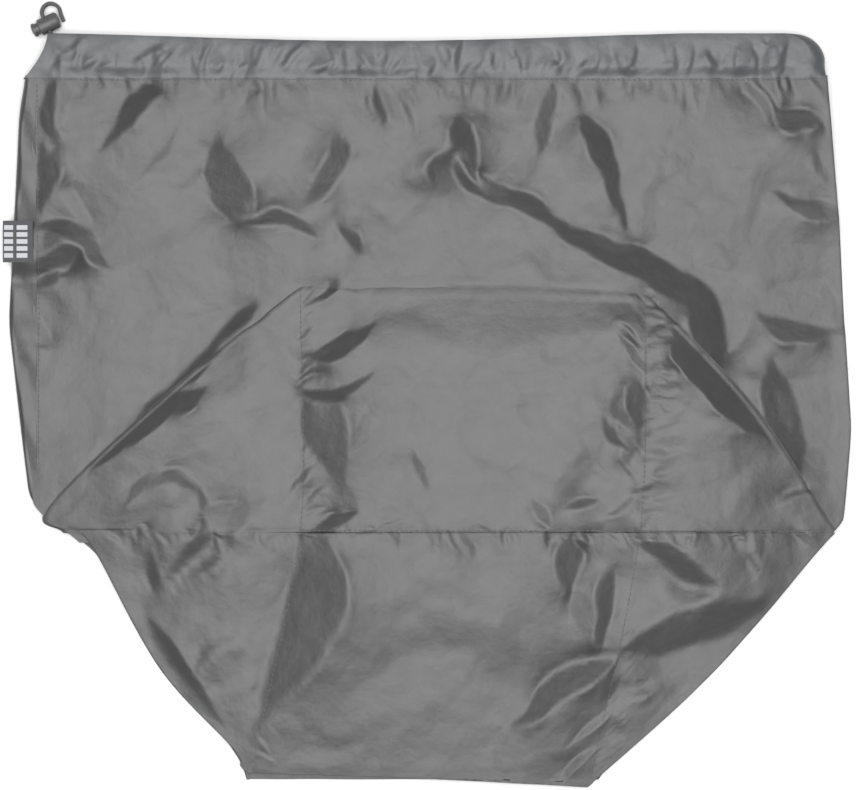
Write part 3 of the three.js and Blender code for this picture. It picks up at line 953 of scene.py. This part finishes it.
# %% Back panel cloth
UNDERSIDE = 0.6
STRIP_COLUMNS = 9
CURL_COLUMNS = 10
UNDER_COLUMNS = 130
BACK_ROWS = 150
FAR_GRID = (98, 300)
STRIP_GAP = 0.35
LOW_RIM = 2.2
TURN_REACH = 3.2
CORNER_REACH = 3.0
CORNER_ROOM = 1.9
FAR_SETBACK = 1.5
back_rows = np.linspace(Y_CASING + HEM_LAP, Y_BACK + FAR_SETBACK, BACK_ROWS)
outline_left, outline_right = (
    np.where(back_rows > Y_CORNER, edge_line(side, back_rows), edge_line(far, back_rows))
    for side, far in ((left_wall, left_far_edge), (right_wall, right_far_edge))
)


def back_section(y, left, right):
    """One cross-section: the strip on the front, the roll, the underside, the right curl."""
    on_front = eased(y, Y_HIP - 6, Y_HIP + 14)
    seam_x = X_SEAM + 1.2
    rim_high = float(height_at(wall_height, max(left, X_SEAM), y)) + STRIP_GAP
    rim = on_front * rim_high + (1 - on_front) * LOW_RIM
    round_off = (rim - UNDERSIDE) / 2
    turn_x = left + min(round_off, TURN_REACH)
    inner = on_front * seam_x + (1 - on_front) * (turn_x + 1.0)
    strip_x = np.linspace(max(inner, turn_x + 0.5), turn_x, STRIP_COLUMNS)
    strip = [(x, rim + 0.5 * math.sin(0.13 * y + 0.3 * x) * on_front) for x in strip_x]
    curl = []
    for k in range(1, CURL_COLUMNS):
        angle = math.pi * k / CURL_COLUMNS
        x = turn_x - (turn_x - left) * math.sin(angle)
        curl.append((x, UNDERSIDE + round_off * (1 + math.cos(angle))))
    under = []
    for x in np.linspace(turn_x, right - CORNER_REACH, UNDER_COLUMNS):
        ripple = 0.5 * (1 + math.sin(0.11 * x + 0.4 * math.sin(0.07 * y)))
        under.append((x, UNDERSIDE + ripple * float(eased(min(x - left, right - x), 6, 30))))
    rise = max(float(height_at(wall_height, right - 2, y)) - CORNER_ROOM - UNDERSIDE, 0.6)
    rise = rise if y > Y_HIP else min(rise, 1.6)
    corner = [(right - CORNER_REACH + CORNER_REACH * math.sin(a),
               UNDERSIDE + rise * (1 - math.cos(a))) for a in np.linspace(0.2, math.pi / 2, 6)]
    return [(x, y, z) for x, z in strip + curl + under + corner]


back_wall = np.array([
    back_section(y, left, right)
    for y, left, right in zip(back_rows, outline_left, outline_right)
])
far_base = spread(
    inward_by(left_far_edge, ROLL, 1), inward_by(right_far_edge, ROLL, -1), *FAR_GRID, base_height
)
far_base[-1, :, 1] += 1.0
far_base = lip_left(far_base, 2.0, ROLL)
far_base = lip_right(far_base, 2.0, ROLL)
far_base = lip(far_base, 1.6, ROLL)
back_cloth = cloth("back_panel_cloth", [back_wall, far_base], satin_nylon)

# %% [markdown]
# ## Casings
# Each casing is a flat tunnel sewn along its lower edge. Its mouth edge sags a little between
# the ends, its left end is drawn in to the neck where the cord leaves, and its right end is
# rounded down to the side seam. It is one strip folded double, swept across the bag, and its
# two raw edges meet at the hem, where they are sewn to the wall.

# %% Casing cloth
MOUTH_SAG = 4.5
CORNER_ROUND = 15
NECK_PULL = 14
NECK_INSET = 5
TOP_POINTS = 22
UNDER_POINTS = 10
SQUARENESS = 3
EDGE_FOLD = 0.01
SEWN_SHARE = 0.3
HEM_STEP = 0.4
CREASE_LIMIT = 1.8
SPLIT = 6.2
HEM_OVERLAP = 0.6
NECK_LOW = 1.6
sweep = np.linspace(0, 1, 320)


def casing_left(up):
    """The drawn-in left end, which runs out to the wall at the hem."""
    return -HALF_MOUTH + NECK_INSET - NECK_PULL * (1 - up) ** 1.7


def side_neck():
    """The gathered side that joins both casings at their left ends, below the exit."""
    up = np.linspace(0, 0.92, 50)[:, None]
    share = np.linspace(0, 1, 12)[None]
    bulge = 1.6 * np.sin(np.pi * share) * (1 - 0.6 * up)
    y = Y_CASING - HEM_OVERLAP + up * (Y_MOUTH - Y_CASING + HEM_OVERLAP) + 0 * share
    x = casing_left(up) - bulge + 0.5 + 0.2 * np.sin(1.1 * y)
    z = NECK_LOW + (HEM_LEVEL + TOUCH - NECK_LOW) * share + 0 * up
    return np.dstack([x, y, z])


def swept_casing(low, high, hem_edge, mouth_edge, creased):
    """The strip folded double: over its face from the hem to the mouth, and back beneath."""
    inner = np.linspace(0.04, 0.96, TOP_POINTS)
    over = np.concatenate([[0, EDGE_FOLD], inner, [1 - EDGE_FOLD, 1]])
    up = np.concatenate([over, np.linspace(1, 0, UNDER_POINTS)[1:]])
    face = np.concatenate([np.ones(len(over)), -np.ones(UNDER_POINTS - 1)])
    puff = 1 - np.abs(2 * up - 1) ** SQUARENESS
    rim = hem_edge + (mouth_edge - hem_edge) * up
    plain = rim + puff * (np.where(face > 0, high, low) - rim)
    grid = np.zeros((len(sweep), len(up), 3))
    for i, share in enumerate(sweep):
        sag = MOUTH_SAG * math.sin(math.pi * min(share * 1.15, 1.0)) ** 1.5
        y = Y_CASING - HEM_OVERLAP + up * (Y_MOUTH - Y_CASING + HEM_OVERLAP - sag)
        left = casing_left(up)
        corner = np.clip(1 - (Y_MOUTH - y) / CORNER_ROUND, 0, 1)
        right = HALF_MOUTH + 3 - CORNER_ROUND * (1 - np.sqrt(1 - corner**2)) - 2 * corner
        x = left + (right - left) * share
        end = float(np.clip((1 - share) / 0.015, 0, 1)) ** 0.5
        crease = CREASE_LIMIT * np.tanh(1.5 * height_at(short_creases, x, y) / CREASE_LIMIT)
        z = SPLIT + (plain - SPLIT) * (0.35 + 0.65 * end)
        if creased:
            z = z + crease * np.where(face > 0, 1, 0.25) * end
            sewn = np.where(face > 0, 1 - eased(up, 0, SEWN_SHARE), up < EDGE_FOLD)
            z = z * (1 - sewn) + (height_at(wall_height, x, y) + HEM_STEP) * sewn
        grid[i] = np.stack([x, y, np.maximum(z, 0.3)], 1)
    return grid


front_tunnel = swept_casing(8.2, 14.0, HEM_LEVEL + 0.5, 13.2, True)
back_tunnel = swept_casing(0.4, 3.8, 1.2, 2.1, False)
front_casing = cloth("front_casing_cloth", [front_tunnel, side_neck()], hem_nylon)
back_casing = cloth("back_casing_cloth", [back_tunnel], hem_nylon)

# %% [markdown]
# ## Cloth on the bag body
# Each panel and casing rides on the bag body in place of its frame node. A panel cut flat is as
# wide as the belly. Its depth is the wall, both layers of its half of the base and the rolls
# between them, and its area is less than width by depth, because the base narrows. A casing is
# a strip of twice its height and the turn at the mouth.

# %% Cloth pieces on the bag body
for piece, node, slot_name in (
    (front_cloth, "front_panel", "nylon"),
    (back_cloth, "back_panel", "nylon"),
    (front_casing, "casing_front", "nylon_hem"),
    (back_casing, "casing_back", "nylon_hem"),
):
    stands_for(piece, "bag", node)

# %% [markdown]
# ## Stitches
# A lockstitch shows as a row of short, slightly sunk threads. Each row is many small round
# stitches that follow the cloth under them, joined in one object.

# %% Stitch rows
STITCH = 2.4
STITCH_GAP = 0.7
STITCH_RADIUS = 0.28
STITCH_LIFT = 0.25
STITCH_RINGS = 5
STITCH_SIDES = 6
ROW_POINTS = 900
HEM_DROP = 1.6
Y_HEM = Y_CASING - HEM_DROP
X_STITCH = X_SEAM + 2.4


def top_of(x, y):
    """The highest cloth at a place on the front."""
    walls = height_at(wall_height, x, y)
    covered = (height_at(base_room, x, y) > 0) & (np.asarray(y) < Y_NEAR)
    return np.where(covered, height_at(base_height, x, y), walls)


def stitch_row(name, route, heights, node):
    """Short round threads along a route, laid on the heights, standing for a frame node."""
    fine = smooth_line(route, ROW_POINTS)
    taper = np.linspace(-0.97, 0.97, STITCH_RINGS)
    swell = STITCH_RADIUS * np.sqrt(np.maximum(1 - taper**2, 0.05))
    distance = np.concatenate([[0], np.cumsum(np.linalg.norm(np.diff(fine, axis=0), axis=1))])
    grids = []
    for begin in np.arange(0, distance[-1] - STITCH, STITCH + STITCH_GAP):
        places = begin + STITCH * np.linspace(0, 1, STITCH_RINGS)
        x = np.interp(places, distance, fine[:, 0])
        y = np.interp(places, distance, fine[:, 1])
        run = np.array([x[-1] - x[0], y[-1] - y[0]]) / STITCH
        rings = []
        level = heights(x, y) + STITCH_LIFT
        for angle in np.linspace(0, TURN, STITCH_SIDES, endpoint=False):
            out = swell * math.cos(angle)
            up = swell * math.sin(angle)
            rings.append(np.stack([x - run[1] * out, y + run[0] * out, level + up], 1))
        grids.append(np.stack(rings, 1))
    piece = cloth(name, grids, seam_thread, True)
    stands_for(piece, "bag", node)


def below_back(x, y):
    """The underside of the back wall, which lies on the table."""
    return 0 * x + 0.3


hem_line = [(X_SEAM + 6, Y_HEM), (0, Y_HEM), (HALF_MOUTH - 2, Y_HEM)]
stitch_row("hem_stitches_front", hem_line, top_of, "casing_stitch_front")
stitch_row("hem_stitches_back", hem_line, below_back, "casing_stitch_back")
for name, node, route in (
    ("base_seam_stitches", "base_seam",
     [(near_left[0] + 1, Y_SEAM), (BASE_OFFSET, Y_SEAM), (near_right[0] - 5, Y_SEAM)]),
    ("left_corner_stitches", "left_corner_seam",
     [(near_left[0], Y_NEAR - 4), (near_left[0], Y_SEAM), (far_left[0] + 3, far_left[1] + 4)]),
    ("right_corner_stitches", "right_corner_seam",
     [(near_right[0] - 1, near_right[1] - 4), (near_right[0] - 4, Y_SEAM),
      (far_right[0] - 1, far_right[1] + 4)]),
    ("left_side_stitches", "left_side_seam",
     [(X_STITCH, Y_CASING - 4), (X_STITCH, Y_CORNER + 120), (X_STITCH, Y_HIP + 12)]),
    ("right_side_stitches", "right_side_seam",
     [(near_right[0] - 2, Y_SEAM), (right_ear[0] - 60, Y_SEAM), (right_ear[0] - 14, Y_SEAM)]),
):
    stitch_row(name, route, top_of, node)

# %% [markdown]
# ## Side label
# A folded piece of dark satin tape, caught in the left seam, with two columns of plain pale
# blocks. It turns on its sewn edge, so it rides on the label body.

# %% Label
TAPE_WEAVE = 0.5
PLY = 0.32
COLUMN_PITCH = 8.6
BLOCK_PITCH = 4.2
BLOCKS_HIGH = 5
BLOCK_INSET = 1.2


def tape_finish(name):
    finish = Finish(name)
    x, y, _ = finish.axes()
    weave = (y * (TURN / (TAPE_WEAVE * MM))).sine() * (x * (TURN / (TAPE_WEAVE * MM))).sine()
    from_end = x - label_low[0] * MM
    from_middle = y - (label_low[1] + label_high[1]) / 2 * MM
    columns = (from_end * (TURN / (COLUMN_PITCH * MM)) - 0.9).sine().above(-0.72)
    rows = (from_middle * (TURN / (BLOCK_PITCH * MM)) + TURN / 4).sine().above(-0.45)
    reach = (label_high[0] - label_low[0] - BLOCK_INSET) * MM
    along = from_end.above(BLOCK_INSET * MM) * (1 - from_end.above(reach))
    beyond = from_middle.size().above(BLOCKS_HIGH / 2 * BLOCK_PITCH * MM)
    blocks = columns * rows * along * (1 - beyond)
    finish.tint(blocks, (0.035, 0.036, 0.040, 1), (0.42, 0.43, 0.45, 1))
    finish.set("Roughness", 0.55)
    finish.bumped(weave, 0.03 * MM, 0.4)
    return finish.material


def folded_label():
    """Two plies of tape joined by a rounded fold at the outer end, sagging a little."""
    length = label_high[0] - label_low[0]
    top = label_high[2] - 0.05
    over = [(label_high[0] - length * s, top) for s in np.linspace(0, 0.96, 22)]
    bend = [(label_low[0] + 0.04 * length - PLY * math.sin(a), top - PLY * (1 - math.cos(a)))
            for a in np.linspace(0.3, math.pi - 0.3, 6)]
    back = [(x, top - 2 * PLY) for x, _ in reversed(over)]
    rows = np.linspace(label_low[1], label_high[1], 26)
    section = over + bend + back
    return np.array([[(x, y, z + 0.12 * math.sin(0.5 * y)) for x, z in section] for y in rows])


label = cloth("folded_side_label", [folded_label()], tape_finish("label_tape_finish"))
stands_for(label, "label", "side_label")

# %% [markdown]
# ## What stays as the frame has it
# The cord inside the casing and the bar tack keep their meshes and only take a finish.

# %% Finishes on the frame's own parts
for node, material in (("drawcord", cord_braid), ("exit_bartack", seam_thread)):
    held = frame["nodes"][node]
    held.data.materials.clear()
    held.data.materials.append(material)
    print(node, "is finished in", material.name)

# %% [markdown]
# ## The spring's travel
# Pressing the plunger closes the coil against the blind end of the barrel, so the real coil
# flattens along the push by as much as the plunger travels. Here the coil is measured along the
# push, the share of it left at full travel is worked out, and the spring gets a mesh of its own.

# %% Spring length along the push
push = next(joint for joint in frame["joints"] if joint["name"] == "lock_press")
push_axis = np.array(push["axis"])
coil_points = np.array([spring.matrix_world @ v.co for v in spring.data.vertices])
coil_along = coil_points @ push_axis
coil_length = float(np.ptp(coil_along))
kept_share = 1 - push["range_m"][1] / coil_length
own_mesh(spring)
print("spring", round(coil_length / MM, 1), "mm, kept", round(kept_share, 2))

# %% [markdown]
# ## Table and light
# A pale table, one broad softbox above the camera, and a little light from all round. The
# softbox is what the satin mirrors, so its size sets how far a facet may tip before it darkens.

# %% Table and light
TABLE = 6.0
SOFTBOX = 1.7
SOFTBOX_HEIGHT = 1.75
SOFTBOX_POWER = 46.0
FILL = 0.4

table_mesh = bpy.data.meshes.new("table")
half = TABLE / 2
table_mesh.from_pydata(
    [(-half, -half, 0), (half, -half, 0), (half, half, 0), (-half, half, 0)], [], [(0, 1, 2, 3)]
)
table_finish = Finish("pale_table")
paper = table_finish.noise(40.0)
table_finish.tint(paper, (0.84, 0.84, 0.84, 1), (0.87, 0.87, 0.87, 1))
table_finish.set("Roughness", 0.9)
table_mesh.materials.append(table_finish.material)
table = link(bpy.data.objects.new("table", table_mesh))

softbox_data = bpy.data.lights.new("softbox", "AREA")
softbox_data.size = SOFTBOX
softbox_data.energy = SOFTBOX_POWER
softbox = link(bpy.data.objects.new("softbox", softbox_data))
softbox.location = (0, 0, SOFTBOX_HEIGHT)
softbox.visible_camera = False

world = bpy.data.worlds.new("studio")
world.use_nodes = True
background = world.node_tree.nodes["Background"]
background.inputs["Color"].default_value = (1, 1, 1, 1)
background.inputs["Strength"].default_value = FILL
bpy.context.scene.world = world
bpy.context.scene.view_settings.view_transform = "Standard"
print("softbox", SOFTBOX, "m wide")
